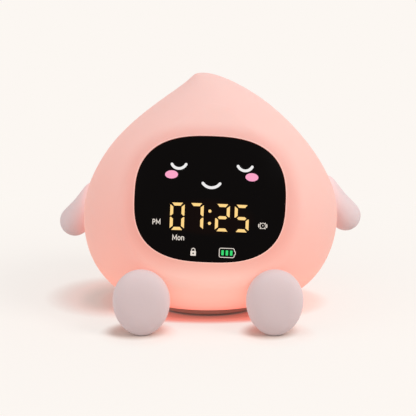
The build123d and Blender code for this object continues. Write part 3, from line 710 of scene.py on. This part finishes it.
# points of an arc between two angles in degrees
def arcPoints(u, v, radius, start, end, steps=14):
    angles = [radians(start + (end - start) * i / steps) for i in range(steps + 1)]
    return [(u + radius * cos(a), v + radius * sin(a)) for a in angles]


# an arc that hangs between two ends
def sagging(u, lowest, chord, sag):
    radius = (chord * chord / 4 + sag * sag) / (2 * sag)
    half = degrees(asin(chord / 2 / radius))
    return arcPoints(u, lowest + radius, radius, 270 - half, 270 + half)


digits = {
    "shown": "0725",
    "centres": (-15.6, -6.35, 6.3, 15.65),
    "drop": 9.3,
    "width": 6.95,
    "height": 13.2,
    "bar": 1.45,
    "gap": 0.74,
    "corner": 0.45,  # the outer corners of the bars are cut off by this much
    "colonPlace": 0.15,
    "colonSize": 1.5,
    "colonSpread": 5.9,
    "colour": srgb(255, 213, 136),
    "unlit": srgb(60, 40, 16),
    "strength": 1.0,
}
litBars = {
    "0": "abcdef", "1": "bc", "2": "abged", "3": "abgcd", "4": "fgbc",
    "5": "afgcd", "6": "afgedc", "7": "abc", "8": "abcdefg", "9": "abcdfg",
}


# outlines of the seven mitred bars of one digit, by letter
def digitBars(d):
    half = d["gap"] / 2
    width = d["bar"] + d["gap"]
    x, y, cut = d["width"] / 2 + half, d["height"] / 2 + half, d["corner"]
    top = [(-x + cut, y), (x - cut, y), (x - width, y - width), (-x + width, y - width)]
    side = [(x, y - cut), (x, 0), (x - width / 2, 0), (x - width, width / 2), (x - width, y - width)]
    middle = [(-x + width / 2, 0), (-x + width, width / 2), (x - width, width / 2)]
    middle += [(x - width / 2, 0), (x - width, -width / 2), (-x + width, -width / 2)]
    bars = {"a": top, "b": side, "g": middle}
    bars["c"] = mirrored(side, 1, -1)
    bars["d"] = mirrored(top, 1, -1)
    bars["e"] = mirrored(side, -1, -1)
    bars["f"] = mirrored(side, -1, 1)
    return {name: insetOutline(points, half) for name, points in bars.items()}


def mirrored(points, signU, signV):
    out = [(signU * u, signV * v) for u, v in points]
    return out[::-1] if signU * signV < 0 else out


# a convex clockwise outline moved inwards by an even amount
def insetOutline(points, amount):
    pts = [Vector(p) for p in points]
    lines = []
    for i, p in enumerate(pts):
        along = (pts[(i + 1) % len(pts)] - p).normalized()
        lines.append((p + Vector((along.y, -along.x)) * amount, along))
    out = []
    for i in range(len(lines)):
        (p, a), (q, b) = lines[i - 1], lines[i]
        t = ((q.x - p.x) * b.y - (q.y - p.y) * b.x) / (a.x * b.y - a.y * b.x)
        out.append(tuple(p + a * t))
    return out


def makeDigits(d):
    lit = lightMaterial("warmDigits", d["colour"], d["strength"], d["unlit"])
    bars = digitBars(d)
    shapes = []
    for figure, centre in zip(d["shown"], d["centres"]):
        for name in litBars[figure]:
            shapes.append([(u + centre, v - d["drop"]) for u, v in bars[name]])
    inlay("clockDigits", shapes, lit)
    levels = [sign * d["colonSpread"] / 2 - d["drop"] for sign in (-1, 1)]
    size = d["colonSize"]
    inlay("clockColon", [ovalPoints(d["colonPlace"], level, size, size) for level in levels], lit)


sleepyFace = {
    "middle": 0.42,
    "eyeSpread": 32.2, "eyeLow": 14.1, "eyeChord": 6.9, "eyeSag": 2.15,
    "smileLow": 5.05, "smileChord": 8.3, "smileSag": 2.1,
    "stroke": 1.35,
    "cheekSpread": 39.1, "cheekUp": 11.1, "cheekWidth": 6.3, "cheekHeight": 4.05,
    "white": srgb(238, 236, 236), "whiteUnlit": srgb(60, 60, 60),
    "pink": srgb(252, 166, 200), "pinkUnlit": srgb(60, 30, 40),
    "strength": 0.95,
}


def makeFace(f):
    white = lightMaterial("whiteLines", f["white"], f["strength"], f["whiteUnlit"])
    pink = lightMaterial("pinkCheeks", f["pink"], f["strength"], f["pinkUnlit"])
    lines = [stroke(sagging(f["middle"], f["smileLow"], f["smileChord"], f["smileSag"]), f["stroke"])]
    cheeks = []
    for sign in (-1, 1):
        eye = sagging(f["middle"] + sign * f["eyeSpread"] / 2, f["eyeLow"], f["eyeChord"], f["eyeSag"])
        lines.append(stroke(eye, f["stroke"]))
        across = f["middle"] + sign * f["cheekSpread"] / 2
        cheeks.append(ovalPoints(across, f["cheekUp"], f["cheekWidth"], f["cheekHeight"], 36))
    inlay("sleepyLines", lines, white)
    inlay("cheeks", cheeks, pink)


letters = {
    "height": 2.65,
    "line": 0.38,
    "small": 0.74,  # height of a small letter as a share of a tall one
    "widths": {"P": 0.54, "M": 0.82, "o": 0.60, "n": 0.54},  # as shares of the height
    "space": 0.28,
    "bowl": 0.27,  # radius of the bowl of P, how far down M dips to, and where the arch of n begins
    "dip": 0.3,
    "archStart": 170,
}


# strokes of one plain letter whose lower left corner is at (left, base)
def letter(character, left, base):
    line, height = letters["line"], letters["height"]
    half, tall, small = line / 2, height - line / 2, letters["small"] * height
    width = letters["widths"][character] * height
    right = left + width - half
    left += half
    if character == "P":
        bowl = letters["bowl"] * tall
        turn = arcPoints(right - bowl, base + tall - bowl, bowl, 90, -90, 8)
        loop = [(left, base + tall)] + turn + [(left, base + tall - 2 * bowl)]
        return [stroke([(left, base + half), (left, base + tall)], line), stroke(loop, line)]
    if character == "M":
        dip = base + letters["dip"] * tall
        points = [(left, base + half), (left, base + tall), ((left + right) / 2, dip)]
        points += [(right, base + tall), (right, base + half)]
        return [stroke(points, line)]
    if character == "o":
        middle = ((left + right) / 2, base + small / 2)
        return [stroke(ovalPoints(*middle, right - left, small - line), line, closed=True)]
    arch = (right - left) / 2
    turn = arcPoints(left + arch, base + small - half - arch, arch, letters["archStart"], 0, 8)
    stem = [(left, base + half), (left, base + small - half)]
    return [stroke(stem, line), stroke(turn + [(right, base + half)], line)]


def word(text, centre):
    height = letters["height"]
    widths = [letters["widths"][c] * height for c in text]
    left = centre[0] - (sum(widths) + letters["space"] * (len(text) - 1)) / 2
    shapes = []
    for character, width in zip(text, widths):
        shapes += letter(character, left, centre[1] - height / 2)
        left += width + letters["space"]
    return shapes


# corners of a box in turn, each as the middle of its rounding and the angle where that starts
def boxCorners(centre, width, height, corner):
    u, v = width / 2 - corner, height / 2 - corner
    turns = enumerate(((1, 1), (-1, 1), (-1, -1), (1, -1)))
    return [(centre[0] + signU * u, centre[1] + signV * v, 90 * quarter) for quarter, (signU, signV) in turns]


def roundedBox(centre, width, height, corner, steps=4):
    points = []
    for u, v, start in boxCorners(centre, width, height, corner):
        points += arcPoints(u, v, corner, start, start + 90, steps)
    return points


signs = {
    "white": srgb(240, 229, 218), "whiteUnlit": srgb(50, 50, 50), "whiteStrength": 0.9,
    "green": srgb(52, 214, 112), "greenUnlit": srgb(10, 50, 25), "greenStrength": 1.0,
    "pm": (-25.6, -12.1),
    "weekday": (-14.7, -19.5),
}
padlock = {
    "centre": (-7.2, -26.1),
    "bodyDrop": 1 / 3,  # of its height, so that the shackle has room above
    "width": 2.65, "height": 2.3, "corner": 0.3, "keyhole": 0.8,
    "shackle": 0.84, "line": 0.38,
}
battery = {
    "centre": (9.05, -26.1),
    "width": 7.3, "height": 4.35, "corner": 0.8, "line": 0.32,
    "nub": 0.5, "nubHeight": 1.9, "nubSlope": 0.45,
    "bars": (-2.05, 0.05, 2.15), "barWidth": 1.2, "barHeight": 2.4, "barCorner": 0.25,
}
alarmSign = {
    "centre": (26.05, -12.3),
    "ring": 1.32, "ringLine": 0.29,
    "hand": 0.3, "handLine": 0.36,
    "waves": 2.0, "waveLine": 0.5, "waveSpread": 20,
    "nubs": (1.62, 1.8), "nubAngles": (48, 132, 228, 312), "nubLine": 0.46,
}


def makeSigns():
    white = lightMaterial("printedSigns", signs["white"], signs["whiteStrength"], signs["whiteUnlit"])
    green = lightMaterial("batteryBars", signs["green"], signs["greenStrength"], signs["greenUnlit"])
    inlay("signPm", word("PM", signs["pm"]), white)
    inlay("signWeekday", word("Mon", signs["weekday"]), white)
    makePadlock(padlock, white)
    makeBattery(battery, white, green)
    makeAlarmSign(alarmSign, white)


def makePadlock(p, white):
    u, v = p["centre"]
    middle = (u, v - p["height"] * p["bodyDrop"])
    body = [roundedBox(middle, p["width"], p["height"], p["corner"])]
    body.append(ovalPoints(*middle, p["keyhole"], p["keyhole"], 12)[::-1])
    bow = p["shackle"]
    top = middle[1] + p["height"] / 2
    shackle = [(u - bow, top)] + arcPoints(u, top + bow / 2, bow, 180, 0, 10) + [(u + bow, top)]
    inlay("signPadlock", [body, stroke(shackle, p["line"])], white)


def makeBattery(b, white, green):
    u, v = b["centre"]
    side, low, slope = u + b["width"] / 2, v - b["nubHeight"] / 2, b["nubSlope"]
    high = low + b["nubHeight"]
    case = [(side, low), (side + b["nub"], low + slope), (side + b["nub"], high - slope), (side, high)]
    for across, up, start in boxCorners((u, v), b["width"], b["height"], b["corner"]):
        case += arcPoints(across, up, b["corner"], start, start + 90, 5)
    inlay("signBattery", [stroke(case, b["line"], closed=True)], white)
    size = (b["barWidth"], b["barHeight"], b["barCorner"])
    bars = [roundedBox((u + place, v), *size) for place in b["bars"]]
    inlay("batteryBars", bars, green)


# a ringing clock: ring with a hand, a bell or a foot at four corners, and a wave on each side
def makeAlarmSign(a, white):
    u, v = a["centre"]
    ring = stroke(ovalPoints(u, v, 2 * a["ring"], 2 * a["ring"]), a["ringLine"], closed=True)
    shapes = [ring, stroke([(u, v), (u, v + a["hand"])], a["handLine"])]
    for middle in (0, 180):
        wave = arcPoints(u, v, a["waves"], middle - a["waveSpread"], middle + a["waveSpread"], 5)
        shapes.append(stroke(wave, a["waveLine"]))
    for angle in a["nubAngles"]:
        across, up = cos(radians(angle)), sin(radians(angle))
        shapes.append(stroke([(u + reach * across, v + reach * up) for reach in a["nubs"]], a["nubLine"]))
    inlay("signAlarm", shapes, white)


makeCamera(camera)
print("camera set")
makeStudio(studio)
print("studio lit")
dressNodes()
print("materials on the frame")
makeDigits(digits)
makeFace(sleepyFace)
makeSigns()
print("display lit")

scene.view_settings.view_transform = "Standard"
